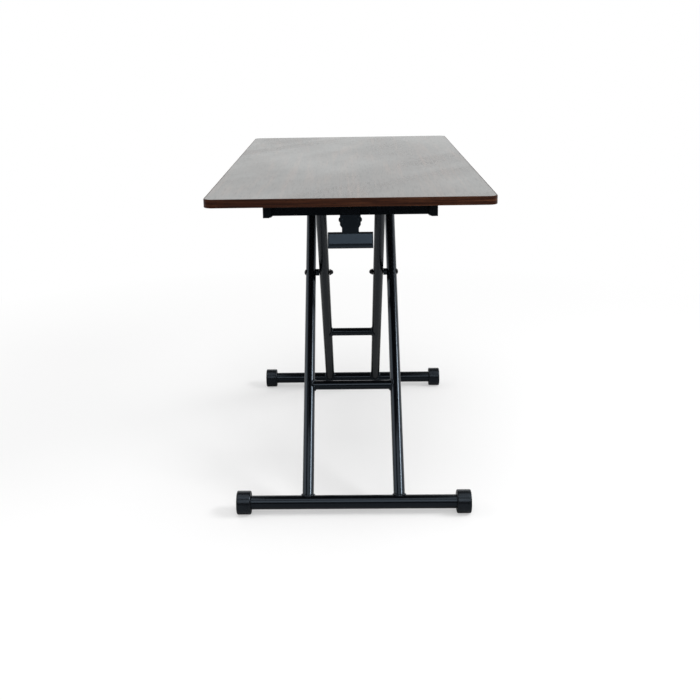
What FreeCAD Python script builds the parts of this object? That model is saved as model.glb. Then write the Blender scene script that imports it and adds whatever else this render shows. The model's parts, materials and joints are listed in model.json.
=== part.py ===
import FreeCAD, Part
import math
import os

# A narrow table on two crossed tube frames that fold like scissors.
# X runs across the table, Y along it (the release lever is at the -Y end) and Z up.
# The origin is on the floor, under the middle of the top. All sizes are in millimetres.

# Table top
TOP_LENGTH = 1000.0
TOP_WIDTH = 500.0
TOP_THICKNESS = 15.0
TOP_CORNER_RADIUS = 16.0
TOP_HEIGHT = 648.0
EDGE_BAND_THICKNESS = 2.0
EDGE_BAND_ROUNDING = 1.0

# Rails and cross bars under the top
RAIL_SPAN = 303.0
RAIL_HEIGHT = 25.5
RAIL_WIDTH = 14.0
RAIL_WALL = 1.5
RAIL_INSET = 48.0
RAIL_CAP_THICKNESS = 3.0
RAIL_CAP_LIP = 0.5
RAIL_CAP_PLUG = 5.0
RAIL_CAP_CHAMFER = 4.0
CROSS_BAR_GAP = 7.0
CROSS_BAR_DEPTH = 20.0
CROSS_BAR_WALL = 1.5

# Lugs welded to the rails, and the wood screws of the whole under-frame
LUG_LENGTH = 30.0
LUG_WIDTH = 16.0
LUG_THICKNESS = 2.0
LUG_PITCH = 300.0
LUGS_PER_RAIL = 3
SCREW_DIAMETER = 4.0
SCREW_DEPTH = 11.0
SCREW_HEAD_DIAMETER = 8.0
SCREW_HEAD_HEIGHT = 3.2

# Leg frames
FOOT_SPREAD = 730.0
SCISSOR_HEIGHT = 400.0
LEG_DIAMETER = 22.2
LEG_WALL = 1.5
LEG_OVERRUN = 3.0
INNER_LEG_SPACING = 119.7
LEG_GAP = 7.7
TOP_BAR_DIAMETER = 16.0
BRACE_DISTANCE = 250.5
BRACE_DIAMETER = 19.0
BRACE_WALL = 1.5
FOOT_LENGTH = 459.0
FOOT_TUBE_DIAMETER = 27.0
FOOT_TUBE_WALL = 1.5
FOOT_CAP_DIAMETER = 46.0
FOOT_CAP_LENGTH = 27.8
FOOT_CAP_END = 4.0
FOOT_CAP_ROUNDING = 2.5

# Scissor bolts, spacers and cap nuts
BOLT_DIAMETER = 6.0
BOLT_HEAD_DIAMETER = 13.5
BOLT_HEAD_HEIGHT = 3.5
SPACER_DIAMETER = 15.0
NUT_ACROSS_FLATS = 12.0
NUT_HEX_LENGTH = 3.2
NUT_DOME_DIAMETER = 10.8

# Slide blocks, pivot blocks and their rivets
BLOCK_LENGTH = 40.0
BLOCK_WIDTH = 12.0
BLOCK_ROUNDING = 2.0
RIVET_DIAMETER = 5.0
RIVET_HEAD_DIAMETER = 9.0
RIVET_HEAD_HEIGHT = 2.0
RIVET_DEPTH = 7.0
RIVET_PITCH = 30.0
STOP_DIAMETER = 8.0

# Release lever and its bracket
LEVER_INSET = 35.0
LEVER_PIN_DROP = 28.5
LEVER_PIN_DIAMETER = 8.0
LEVER_PIN_HEAD_DIAMETER = 10.0
LEVER_PIN_HEAD_HEIGHT = 3.4
LEVER_SHEET = 2.0
LEVER_BOSS_RADIUS = 10.4
STEM_WIDTH = 29.3
STEM_OFFSET = 8.0
STEM_HEAD_EDGE = 0.9
STEM_HEAD_DROP = 7.5
STEM_TAPER = 5.0
GRIP_DROP = 50.7
GRIP_HEIGHT = 26.9
GRIP_WIDTH = 78.5
GRIP_DEPTH = 15.0
GRIP_TILT = 18.0
GRIP_CURL_RADIUS = 8.0
GRIP_LIP = 13.0
GRIP_END_ROUNDING = 2.5
BRACKET_SHEET = 2.0
BRACKET_SIDE_GAP = 0.4
BRACKET_LENGTH = 26.0
BRACKET_EAR_LEAN = 3.0
BRACKET_APRON = 17.0
BRACKET_SLOT_HEIGHT = 4.5
BRACKET_SCREW_PITCH = 17.0

# Return spring of the lever
SPRING_WIRE = 1.5
SPRING_TURNS = 5
SPRING_TURN_GAP = 0.5
SPRING_LOWER_LEG = 14.0

# Locking rack, its hanger and its pins
RACK_WIDTH = 20.0
RACK_HEIGHT = 14.0
RACK_LOW_HEIGHT = 8.0
RACK_SHEET = 2.0
RACK_NEAR_GAP = 6.0
RACK_TONGUE_LENGTH = 22.0
RACK_TONGUE_DROP = 11.0
RACK_TAIL = 12.0
LOCK_DEPTH = 4.5
HEIGHT_SETTINGS = 5
HEIGHT_STEP = 40.0
FOLDED_LEG_ANGLE = 4.0
HANGER_POSITION = 300.0
HANGER_SHEET = 2.0
HANGER_LENGTH = 34.0
HANGER_SIDE_GAP = 2.0
HANGER_SCREW_PITCH = 20.0
HANGER_EAR_RADIUS = 8.0
HINGE_PIN_DIAMETER = 6.0
HINGE_PIN_HEAD_DIAMETER = 9.0
HINGE_PIN_HEAD_HEIGHT = 2.0
LINK_PIN_DIAMETER = 5.0
LINK_PIN_DROP = 11.0
LINK_PIN_END = 1.5
LINK_BOSS_RADIUS = 6.0
LINK_KNEE_RADIUS = 5.5
LINK_SLOT_LENGTH = 2.4

# Clearances
RUNNING_FIT = 0.08
SEAT_FIT = 0.02
SLIDE_CLEARANCE = 0.3
RACK_CLEARANCE = 0.4
NOTCH_CLEARANCE = 0.5
SLOT_CLEARANCE = 0.3

# Levels and places that follow from the sizes above
UNDERSIDE = TOP_HEIGHT - TOP_THICKNESS
BAR_Z = UNDERSIDE - RAIL_HEIGHT / 2
FOOT_Z = FOOT_CAP_DIAMETER / 2
FOOT_Y = FOOT_SPREAD / 2
BAR_Y = FOOT_Y * (BAR_Z - SCISSOR_HEIGHT) / (SCISSOR_HEIGHT - FOOT_Z)
LEG_LENGTH = math.hypot(FOOT_Y + BAR_Y, BAR_Z - FOOT_Z)
UPPER_LEG = math.hypot(BAR_Y, BAR_Z - SCISSOR_HEIGHT)
OUTER_LEG_SPACING = INNER_LEG_SPACING + 2 * (LEG_DIAMETER + LEG_GAP)

RAIL_FACE_X = RAIL_SPAN / 2
RAIL_WEB_X = RAIL_FACE_X - RAIL_WALL
RAIL_END_Y = TOP_LENGTH / 2 - RAIL_INSET
CROSS_BAR_FRONT = RAIL_END_Y - CROSS_BAR_GAP
CROSS_BAR_BACK = CROSS_BAR_FRONT - CROSS_BAR_DEPTH

LEVER_Y = LEVER_INSET - TOP_LENGTH / 2
LEVER_Z = UNDERSIDE - LEVER_PIN_DROP
STEM_BACK_Y = LEVER_Y - STEM_OFFSET
STEM_FRONT_Y = STEM_BACK_Y - LEVER_SHEET
BRACKET_INNER_X = STEM_WIDTH / 2 + BRACKET_SIDE_GAP
BRACKET_OUTER_X = BRACKET_INNER_X + BRACKET_SHEET
BRACKET_EAR_RADIUS = STEM_OFFSET - SLIDE_CLEARANCE
STEM_HEAD_X = BRACKET_OUTER_X + STEM_HEAD_EDGE

RACK_TOP = BAR_Z - TOP_BAR_DIAMETER / 2 - RACK_CLEARANCE
RACK_BOTTOM = RACK_TOP - RACK_HEIGHT
RACK_NEAR_Y = RACK_NEAR_GAP - CROSS_BAR_BACK
RACK_HINGE_Z = RACK_BOTTOM + RACK_LOW_HEIGHT / 2
LINK_Y = RACK_NEAR_Y + RACK_TONGUE_LENGTH / 2
LINK_Z = LEVER_Z - LINK_PIN_DROP

V = FreeCAD.Vector
ALONG_X = V(1, 0, 0)
ALONG_Z = V(0, 0, 1)


# Basic solids

def block(x_range, y_range, z_range):
    """A box between two values of each coordinate."""
    corner = V(x_range[0], y_range[0], z_range[0])
    return Part.makeBox(x_range[1] - x_range[0], y_range[1] - y_range[0], z_range[1] - z_range[0], corner)


def rod(start, end, diameter):
    """A solid round bar between two points."""
    way = end - start
    return Part.makeCylinder(diameter / 2, way.Length, start, way)


def tube(start, end, diameter, wall):
    """A round tube between two points."""
    return rod(start, end, diameter).cut(rod(start, end, diameter - 2 * wall))


def cross_rod(y, z, x_range, diameter):
    """A round bar that runs across the table."""
    return rod(V(x_range[0], y, z), V(x_range[1], y, z), diameter)


def mirrored(shape):
    """The same piece on the other side of the table."""
    return shape.mirror(V(0, 0, 0), ALONG_X)


def edges_along(shape, direction):
    """The straight edges that run one way."""
    found = []
    for edge in shape.Edges:
        way = edge.Vertexes[-1].Point - edge.Vertexes[0].Point
        if way.Length > 0 and abs(abs(way.normalize().dot(direction)) - 1) < 1e-6:
            found.append(edge)
    return found


def edges_at(shape, axis, value):
    """The edges that lie in one plane across X, Y or Z."""
    found = []
    for edge in shape.Edges:
        box = edge.BoundBox
        low = (box.XMin, box.YMin, box.ZMin)[axis]
        high = (box.XMax, box.YMax, box.ZMax)[axis]
        if abs(low - value) < 1e-4 and abs(high - value) < 1e-4:
            found.append(edge)
    return found


def edges_where(shape, direction, y, z):
    """The straight edges that run one way through a place in Y and Z."""
    found = []
    for edge in edges_along(shape, direction):
        middle = edge.BoundBox.Center
        if abs(middle.y - y) < 1e-4 and abs(middle.z - z) < 1e-4:
            found.append(edge)
    return found


def rounded_slab(width, length, radius, z_range):
    """A flat slab about the middle of the table with rounded corners."""
    slab = block((-width / 2, width / 2), (-length / 2, length / 2), z_range)
    return slab.makeFillet(radius, edges_along(slab, ALONG_Z))


def link_plate(first, second, x_range):
    """A flat link between two discs, each given as y, z and radius."""
    y1, z1, r1 = first
    y2, z2, r2 = second
    heading = math.atan2(z2 - z1, y2 - y1)
    spread = math.acos((r1 - r2) / math.hypot(y2 - y1, z2 - z1))

    def rim(disc, angle):
        return V(x_range[0], disc[0] + disc[2] * math.cos(angle), disc[1] + disc[2] * math.sin(angle))

    left1, right1 = rim(first, heading + spread), rim(first, heading - spread)
    left2, right2 = rim(second, heading + spread), rim(second, heading - spread)
    outline = [
        Part.LineSegment(left1, left2),
        Part.Arc(left2, rim(second, heading), right2),
        Part.LineSegment(right2, right1),
        Part.Arc(right1, rim(first, heading + math.pi), left1),
    ]
    face = Part.Face(Part.Wire([curve.toShape() for curve in outline]))
    return face.extrude(V(x_range[1] - x_range[0], 0, 0))


def domed_head(base, outward, diameter, height):
    """A low round head with a domed top, seated at a point."""
    radius = (diameter ** 2 / 4 + height ** 2) / (2 * height)
    centre = base + outward * (height - radius)
    stem = Part.makeCylinder(diameter / 2, height, base, outward)
    return stem.common(Part.makeSphere(radius, centre))


def headed_pin(y, z, half_length, diameter, head_diameter, head_height):
    """A pin across the table with a domed head on each end."""
    pin = cross_rod(y, z, (-half_length, half_length), diameter)
    for side in (-1, 1):
        seat = V(side * half_length, y, z)
        pin = pin.fuse(domed_head(seat, ALONG_X * side, head_diameter, head_height))
    return pin.removeSplitter()


# Table top

def wood_screw(x, y, seat_z):
    """A screw driven up into the board, with its domed head against a plate."""
    shank = rod(V(x, y, seat_z), V(x, y, UNDERSIDE + SCREW_DEPTH), SCREW_DIAMETER)
    head = domed_head(V(x, y, seat_z), V(0, 0, -1), SCREW_HEAD_DIAMETER, SCREW_HEAD_HEIGHT)
    return shank.fuse(head).removeSplitter()


def screw_hole(x, y):
    """The hole that a wood screw makes in the board and in the plate under it."""
    depth = SCREW_DEPTH + LUG_THICKNESS + BRACKET_SHEET + HANGER_SHEET
    tip = V(x, y, UNDERSIDE + SCREW_DEPTH)
    return Part.makeCylinder(SCREW_DIAMETER / 2 + SEAT_FIT, depth, tip, -ALONG_Z)


def lug_places():
    """Where the lugs sit along each rail, and the two sides."""
    first = -LUG_PITCH * (LUGS_PER_RAIL - 1) / 2
    rows = [first + LUG_PITCH * row for row in range(LUGS_PER_RAIL)]
    return [(side, y) for side in (-1, 1) for y in rows]


LUG_SCREW_X = RAIL_FACE_X + LUG_WIDTH / 2
LUG_SCREWS = [(side * LUG_SCREW_X, y) for side, y in lug_places()]
BRACKET_SCREWS = [(0, LEVER_Y - BRACKET_SCREW_PITCH / 2), (0, LEVER_Y + BRACKET_SCREW_PITCH / 2)]
HANGER_SCREWS = [(0, HANGER_POSITION - HANGER_SCREW_PITCH / 2), (0, HANGER_POSITION + HANGER_SCREW_PITCH / 2)]


def make_top_board():
    """The laminated board inside the edge band, drilled for the screws."""
    board = rounded_slab(
        TOP_WIDTH - 2 * EDGE_BAND_THICKNESS,
        TOP_LENGTH - 2 * EDGE_BAND_THICKNESS,
        TOP_CORNER_RADIUS - EDGE_BAND_THICKNESS,
        (UNDERSIDE, TOP_HEIGHT),
    )
    for x, y in LUG_SCREWS + BRACKET_SCREWS + HANGER_SCREWS:
        board = board.cut(screw_hole(x, y))
    return board


def make_edge_band():
    """The band glued round the board, with softened outer edges."""
    outer = rounded_slab(TOP_WIDTH, TOP_LENGTH, TOP_CORNER_RADIUS, (UNDERSIDE, TOP_HEIGHT))
    rims = edges_at(outer, 2, UNDERSIDE) + edges_at(outer, 2, TOP_HEIGHT)
    outer = outer.makeFillet(EDGE_BAND_ROUNDING, rims)
    inner = rounded_slab(
        TOP_WIDTH - 2 * EDGE_BAND_THICKNESS,
        TOP_LENGTH - 2 * EDGE_BAND_THICKNESS,
        TOP_CORNER_RADIUS - EDGE_BAND_THICKNESS,
        (UNDERSIDE, TOP_HEIGHT),
    )
    return outer.cut(inner)


# Rails, cross bars and what is fixed to them

def rivet_places():
    """Where rivets hold a pivot block to its rail."""
    return [BAR_Y - RIVET_PITCH / 2, BAR_Y + RIVET_PITCH / 2]


STOP_Y = -BAR_Y + BLOCK_LENGTH / 2 + SLIDE_CLEARANCE + STOP_DIAMETER / 2


def make_rail():
    """The right-hand rail: a channel that opens towards the middle of the table."""
    ends = (-RAIL_END_Y, RAIL_END_Y)
    levels = (UNDERSIDE - RAIL_HEIGHT, UNDERSIDE)
    solid = block((RAIL_FACE_X - RAIL_WIDTH, RAIL_FACE_X), ends, levels)
    hollow = block(
        (RAIL_FACE_X - RAIL_WIDTH, RAIL_WEB_X), ends, (levels[0] + RAIL_WALL, levels[1] - RAIL_WALL)
    )
    rail = solid.cut(hollow)
    for y in rivet_places():
        rail = rail.cut(cross_rod(y, BAR_Z, (RAIL_WEB_X, RAIL_FACE_X), RIVET_DIAMETER))
    return rail.cut(cross_rod(STOP_Y, BAR_Z, (RAIL_WEB_X, RAIL_FACE_X), RIVET_DIAMETER))


def make_cross_bar(side):
    """A box tube whose ends sit inside the rails, at the near (-1) or the far (1) end."""
    half_length = RAIL_WEB_X
    levels = (UNDERSIDE - RAIL_HEIGHT + RAIL_WALL, UNDERSIDE - RAIL_WALL)
    faces = sorted((side * CROSS_BAR_FRONT, side * CROSS_BAR_BACK))
    solid = block((-half_length, half_length), faces, levels)
    hollow = block(
        (-half_length, half_length),
        (faces[0] + CROSS_BAR_WALL, faces[1] - CROSS_BAR_WALL),
        (levels[0] + CROSS_BAR_WALL, levels[1] - CROSS_BAR_WALL),
    )
    return solid.cut(hollow)


def make_rail_cap():
    """The plug at the far end of the right-hand rail."""
    plate = block(
        (RAIL_FACE_X - RAIL_WIDTH - RAIL_CAP_LIP, RAIL_FACE_X + RAIL_CAP_LIP),
        (RAIL_END_Y, RAIL_END_Y + RAIL_CAP_THICKNESS),
        (UNDERSIDE - RAIL_HEIGHT - RAIL_CAP_LIP, UNDERSIDE),
    )
    inner_corner = [
        edge for edge in edges_along(plate, V(0, 1, 0))
        if edge.BoundBox.XMax < RAIL_FACE_X - RAIL_WIDTH and edge.BoundBox.ZMax < UNDERSIDE - RAIL_HEIGHT
    ]
    plate = plate.makeChamfer(RAIL_CAP_CHAMFER, inner_corner)
    plug = block(
        (RAIL_FACE_X - RAIL_WIDTH, RAIL_WEB_X - SEAT_FIT),
        (RAIL_END_Y - RAIL_CAP_PLUG, RAIL_END_Y),
        (UNDERSIDE - RAIL_HEIGHT + RAIL_WALL + SEAT_FIT, UNDERSIDE - RAIL_WALL - SEAT_FIT),
    )
    trim = block(
        (RAIL_FACE_X - RAIL_WIDTH, RAIL_FACE_X - RAIL_WIDTH + RAIL_CAP_CHAMFER),
        (RAIL_END_Y - RAIL_CAP_PLUG, RAIL_END_Y),
        (UNDERSIDE - RAIL_HEIGHT, UNDERSIDE - RAIL_HEIGHT + RAIL_CAP_CHAMFER),
    )
    return plate.fuse(plug.cut(trim)).removeSplitter()


def make_rail_caps():
    """The plugs in all four rail ends."""
    far_right = make_rail_cap()
    far_left = mirrored(far_right)
    near = [cap.mirror(V(0, 0, 0), V(0, 1, 0)) for cap in (far_right, far_left)]
    return Part.makeCompound([far_right, far_left] + near)


def make_rail_lugs():
    """The tabs welded to the rails, flat against the board."""
    lugs = []
    for side, y in lug_places():
        across = sorted((side * RAIL_FACE_X, side * (RAIL_FACE_X + LUG_WIDTH)))
        lug = block(across, (y - LUG_LENGTH / 2, y + LUG_LENGTH / 2), (UNDERSIDE - LUG_THICKNESS, UNDERSIDE))
        lugs.append(lug.cut(screw_hole(side * LUG_SCREW_X, y)))
    return Part.makeCompound(lugs)


def make_screws(places, plate_thickness):
    """A group of wood screws through one plate."""
    return Part.makeCompound([wood_screw(x, y, UNDERSIDE - plate_thickness) for x, y in places])


def make_block(y, clearance):
    """A bearing block in the right-hand rail, bored for a top bar."""
    half_height = RAIL_HEIGHT / 2 - RAIL_WALL - clearance
    outer_x = RAIL_WEB_X - clearance
    body = block(
        (outer_x - BLOCK_WIDTH, outer_x),
        (y - BLOCK_LENGTH / 2, y + BLOCK_LENGTH / 2),
        (BAR_Z - half_height, BAR_Z + half_height),
    )
    body = body.makeFillet(BLOCK_ROUNDING, edges_along(body, ALONG_X))
    bore = cross_rod(y, BAR_Z, (outer_x - BLOCK_WIDTH, outer_x), TOP_BAR_DIAMETER + 2 * RUNNING_FIT)
    return body.cut(bore)


def make_pivot_block():
    """The fixed block that the outer frame swings in, with holes for its rivets."""
    fixed = make_block(BAR_Y, 0)
    for y in rivet_places():
        hole = cross_rod(y, BAR_Z, (RAIL_WEB_X - RIVET_DEPTH, RAIL_WEB_X), RIVET_DIAMETER)
        fixed = fixed.cut(hole)
    return fixed


def make_rivet(y, side, inner_diameter, inner_depth):
    """A rivet through the rail, with a domed head outside it."""
    tip = V(side * (RAIL_WEB_X - inner_depth), y, BAR_Z)
    web = V(side * RAIL_WEB_X, y, BAR_Z)
    seat = V(side * RAIL_FACE_X, y, BAR_Z)
    shank = rod(web, seat, RIVET_DIAMETER)
    inside = rod(tip, web, inner_diameter)
    head = domed_head(seat, ALONG_X * side, RIVET_HEAD_DIAMETER, RIVET_HEAD_HEIGHT)
    return inside.fuse([shank, head]).removeSplitter()


def make_block_rivets():
    """The rivets that hold the two pivot blocks."""
    rivets = [make_rivet(y, side, RIVET_DIAMETER, RIVET_DEPTH) for side in (-1, 1) for y in rivet_places()]
    return Part.makeCompound(rivets)


def make_slide_stops():
    """The stout rivets that the slide blocks meet at the highest setting."""
    return Part.makeCompound([make_rivet(STOP_Y, side, STOP_DIAMETER, RIVET_DEPTH) for side in (-1, 1)])


# Leg frames: lean is 1 for the outer frame, whose foot is at the near end, and -1 for the inner one

def foot_point(x, lean):
    """The middle of the foot tube below a leg."""
    return V(x, -lean * FOOT_Y, FOOT_Z)


def bar_point(x, lean):
    """The middle of the top bar above a leg."""
    return V(x, lean * BAR_Y, BAR_Z)


def leg_way(lean):
    """The direction of a leg, from its foot to its top bar."""
    return (bar_point(0, lean) - foot_point(0, lean)).normalize()


def brace_point(lean):
    """The middle of the brace between the two legs of a frame."""
    return foot_point(0, lean) + leg_way(lean) * BRACE_DISTANCE


def leg_spacing(lean):
    """The distance between the middles of a frame's two legs."""
    return OUTER_LEG_SPACING if lean > 0 else INNER_LEG_SPACING


def bar_length():
    """The length of a top bar, which ends inside the blocks."""
    return 2 * (RAIL_WEB_X - 2 * SLIDE_CLEARANCE)


def make_leg(lean, bolt_fit):
    """The right-hand leg of a frame, coped to its foot tube and its top bar and drilled for the bolt."""
    x = leg_spacing(lean) / 2
    end = bar_point(x, lean) + leg_way(lean) * LEG_OVERRUN
    leg = tube(foot_point(x, lean), end, LEG_DIAMETER, LEG_WALL)
    beside = (x - LEG_DIAMETER, x + LEG_DIAMETER)
    leg = leg.cut(cross_rod(-lean * FOOT_Y, FOOT_Z, beside, FOOT_TUBE_DIAMETER))
    leg = leg.cut(cross_rod(lean * BAR_Y, BAR_Z, beside, TOP_BAR_DIAMETER))
    return leg.cut(cross_rod(0, SCISSOR_HEIGHT, beside, BOLT_DIAMETER + 2 * bolt_fit))


def make_foot_tube(lean):
    """The tube along the floor, up to the end walls of its caps."""
    half_length = FOOT_LENGTH / 2 - FOOT_CAP_END
    return tube(
        foot_point(-half_length, lean), foot_point(half_length, lean), FOOT_TUBE_DIAMETER, FOOT_TUBE_WALL
    )


def make_foot_cap(lean):
    """The right-hand round cap that the frame stands on."""
    outer_x = FOOT_LENGTH / 2
    inner_x = outer_x - FOOT_CAP_LENGTH
    cap = rod(foot_point(inner_x, lean), foot_point(outer_x, lean), FOOT_CAP_DIAMETER)
    cap = cap.makeFillet(FOOT_CAP_ROUNDING, edges_at(cap, 0, inner_x) + edges_at(cap, 0, outer_x))
    bore_diameter = FOOT_TUBE_DIAMETER + 2 * SEAT_FIT
    return cap.cut(rod(foot_point(inner_x, lean), foot_point(outer_x - FOOT_CAP_END, lean), bore_diameter))


def make_brace(lean):
    """The thin tube between the two legs, coped to them."""
    x = leg_spacing(lean) / 2
    middle = brace_point(lean)
    brace = tube(middle - ALONG_X * x, middle + ALONG_X * x, BRACE_DIAMETER, BRACE_WALL)
    for side in (-1, 1):
        brace = brace.cut(rod(foot_point(side * x, lean), bar_point(side * x, lean), LEG_DIAMETER))
    return brace


def make_top_bar(lean):
    """The round bar across the top of a frame."""
    half_length = bar_length() / 2
    return cross_rod(lean * BAR_Y, BAR_Z, (-half_length, half_length), TOP_BAR_DIAMETER)


# Scissor joint

BOLT_HEAD_X = OUTER_LEG_SPACING / 2 + LEG_DIAMETER / 2
NUT_SEAT_X = INNER_LEG_SPACING / 2 - LEG_DIAMETER / 2 - SLIDE_CLEARANCE


def make_bolt():
    """The right-hand scissor bolt, with its low head outside the outer leg."""
    shank = cross_rod(0, SCISSOR_HEIGHT, (NUT_SEAT_X - NUT_HEX_LENGTH, BOLT_HEAD_X), BOLT_DIAMETER)
    head = domed_head(V(BOLT_HEAD_X, 0, SCISSOR_HEIGHT), ALONG_X, BOLT_HEAD_DIAMETER, BOLT_HEAD_HEIGHT)
    return shank.fuse(head).removeSplitter()


def make_spacer():
    """The sleeve that keeps the right-hand legs apart."""
    inner_x = INNER_LEG_SPACING / 2 + LEG_DIAMETER / 2 + SLIDE_CLEARANCE
    outer_x = OUTER_LEG_SPACING / 2 - LEG_DIAMETER / 2
    wall = (SPACER_DIAMETER - BOLT_DIAMETER) / 2 - SEAT_FIT
    return tube(V(inner_x, 0, SCISSOR_HEIGHT), V(outer_x, 0, SCISSOR_HEIGHT), SPACER_DIAMETER, wall)


def make_cap_nut():
    """The right-hand cap nut: a hexagon with a round dome over the end of the bolt."""
    corner_radius = NUT_ACROSS_FLATS / math.sqrt(3)
    corners = []
    for corner in range(7):
        angle = math.radians(60 * corner)
        y = corner_radius * math.cos(angle)
        z = SCISSOR_HEIGHT + corner_radius * math.sin(angle)
        corners.append(V(NUT_SEAT_X, y, z))
    hexagon = Part.Face(Part.makePolygon(corners)).extrude(V(-NUT_HEX_LENGTH, 0, 0))
    dome_centre = V(NUT_SEAT_X - NUT_HEX_LENGTH, 0, SCISSOR_HEIGHT)
    dome = Part.makeSphere(NUT_DOME_DIAMETER / 2, dome_centre, -ALONG_X, 0, 90)
    nut = hexagon.fuse(dome)
    bore = (NUT_SEAT_X - NUT_HEX_LENGTH, NUT_SEAT_X + NUT_HEX_LENGTH)
    return nut.cut(cross_rod(0, SCISSOR_HEIGHT, bore, BOLT_DIAMETER)).removeSplitter()


def both_sides(shape):
    """A group of a right-hand piece and its twin on the left."""
    return Part.makeCompound([shape, mirrored(shape)])


# Release lever

def lever_arm_path():
    """The discs that a side plate of the lever joins: pin boss, knee under the cross bar, link boss."""
    boss = (LEVER_Y, LEVER_Z, LEVER_BOSS_RADIUS)
    knee = (-CROSS_BAR_FRONT, LINK_Z + (LEVER_Z - LINK_Z) / 4, LINK_KNEE_RADIUS)
    link = (LINK_Y, LINK_Z, LINK_BOSS_RADIUS)
    return boss, knee, link


def grip_section(inset, x_range):
    """The side outline of the grip, a distance inside its sheet, with a front that leans out below."""
    top = UNDERSIDE - GRIP_DROP - inset
    bottom = UNDERSIDE - GRIP_DROP - GRIP_HEIGHT + inset
    tilt = math.radians(GRIP_TILT)
    back = STEM_FRONT_Y + GRIP_DEPTH

    def front(z):
        return STEM_FRONT_Y - (UNDERSIDE - GRIP_DROP - z) * math.tan(tilt) + inset / math.cos(tilt)

    corners = [(front(top), top), (front(bottom), bottom), (back, bottom), (back, top)]
    outline = Part.makePolygon([V(x_range[0], y, z) for y, z in corners + corners[:1]])
    solid = Part.Face(outline).extrude(V(x_range[1] - x_range[0], 0, 0))
    return solid.makeFillet(GRIP_CURL_RADIUS - inset, edges_where(solid, ALONG_X, front(bottom), bottom))


def make_grip():
    """The grip: a folded pan with a short lip above and a lower edge that curls back for the fingers."""
    top = UNDERSIDE - GRIP_DROP
    bottom = top - GRIP_HEIGHT
    half_width = GRIP_WIDTH / 2
    back = STEM_FRONT_Y + GRIP_DEPTH
    pan = grip_section(0, (-half_width, half_width))
    pan = pan.makeFillet(LEVER_SHEET, edges_where(pan, ALONG_X, STEM_FRONT_Y, top))
    pocket = grip_section(LEVER_SHEET, (-half_width + LEVER_SHEET, half_width - LEVER_SHEET))
    lip_levels = (bottom + GRIP_CURL_RADIUS, top)
    lip_trim = block((-half_width, half_width), (STEM_FRONT_Y + GRIP_LIP, back), lip_levels)
    corners = [grip_end_waste(side, (bottom, top + GRIP_END_ROUNDING)) for side in (-1, 1)]
    return pan.cut([pocket, lip_trim] + corners)


def grip_end_waste(side, levels):
    """What is taken off a front corner of the grip to round it."""
    edge_x = side * GRIP_WIDTH / 2
    across = sorted((edge_x, edge_x - side * GRIP_END_ROUNDING))
    corner = block(across, (STEM_FRONT_Y, STEM_FRONT_Y + GRIP_END_ROUNDING), levels)
    middle = V(edge_x - side * GRIP_END_ROUNDING, STEM_FRONT_Y + GRIP_END_ROUNDING, levels[0])
    waste = corner.cut(Part.makeCylinder(GRIP_END_ROUNDING, levels[1] - levels[0], middle, ALONG_Z))
    waste.rotate(V(0, STEM_FRONT_Y, UNDERSIDE - GRIP_DROP), ALONG_X, -GRIP_TILT)
    return waste


def make_stem():
    """The front plate of the lever: a head that hides the ears of the bracket, and a narrower stem."""
    head_bottom = LEVER_Z - STEM_HEAD_DROP
    right_side = [
        (STEM_WIDTH / 2, UNDERSIDE - GRIP_DROP - LEVER_SHEET),
        (STEM_WIDTH / 2, head_bottom - STEM_TAPER),
        (STEM_HEAD_X, head_bottom),
        (STEM_HEAD_X, LEVER_Z + LEVER_BOSS_RADIUS),
    ]
    outline = right_side + [(-x, z) for x, z in reversed(right_side)]
    corners = [V(x, STEM_FRONT_Y, z) for x, z in outline + outline[:1]]
    return Part.Face(Part.makePolygon(corners)).extrude(V(0, LEVER_SHEET, 0))


def make_release_lever():
    """A folded sheet lever: stem, grip, and two side plates that run back to the rack."""
    grip_top = UNDERSIDE - GRIP_DROP
    half_stem = STEM_WIDTH / 2
    stem = make_stem()
    pieces = [make_grip()]
    boss, knee, link = lever_arm_path()
    for side in (-1, 1):
        across = sorted((side * half_stem, side * (half_stem - LEVER_SHEET)))
        pieces.append(link_plate(boss, knee, across))
        pieces.append(link_plate(knee, link, across))
        pieces.append(block(across, (STEM_FRONT_Y, LEVER_Y), (grip_top, LEVER_Z + LEVER_BOSS_RADIUS)))
    lever = stem.fuse(pieces)
    pin_hole = (-half_stem, half_stem)
    lever = lever.cut(cross_rod(LEVER_Y, LEVER_Z, pin_hole, LEVER_PIN_DIAMETER + 2 * RUNNING_FIT))
    return lever.cut(cross_rod(LINK_Y, LINK_Z, pin_hole, LINK_PIN_DIAMETER)).removeSplitter()


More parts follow.
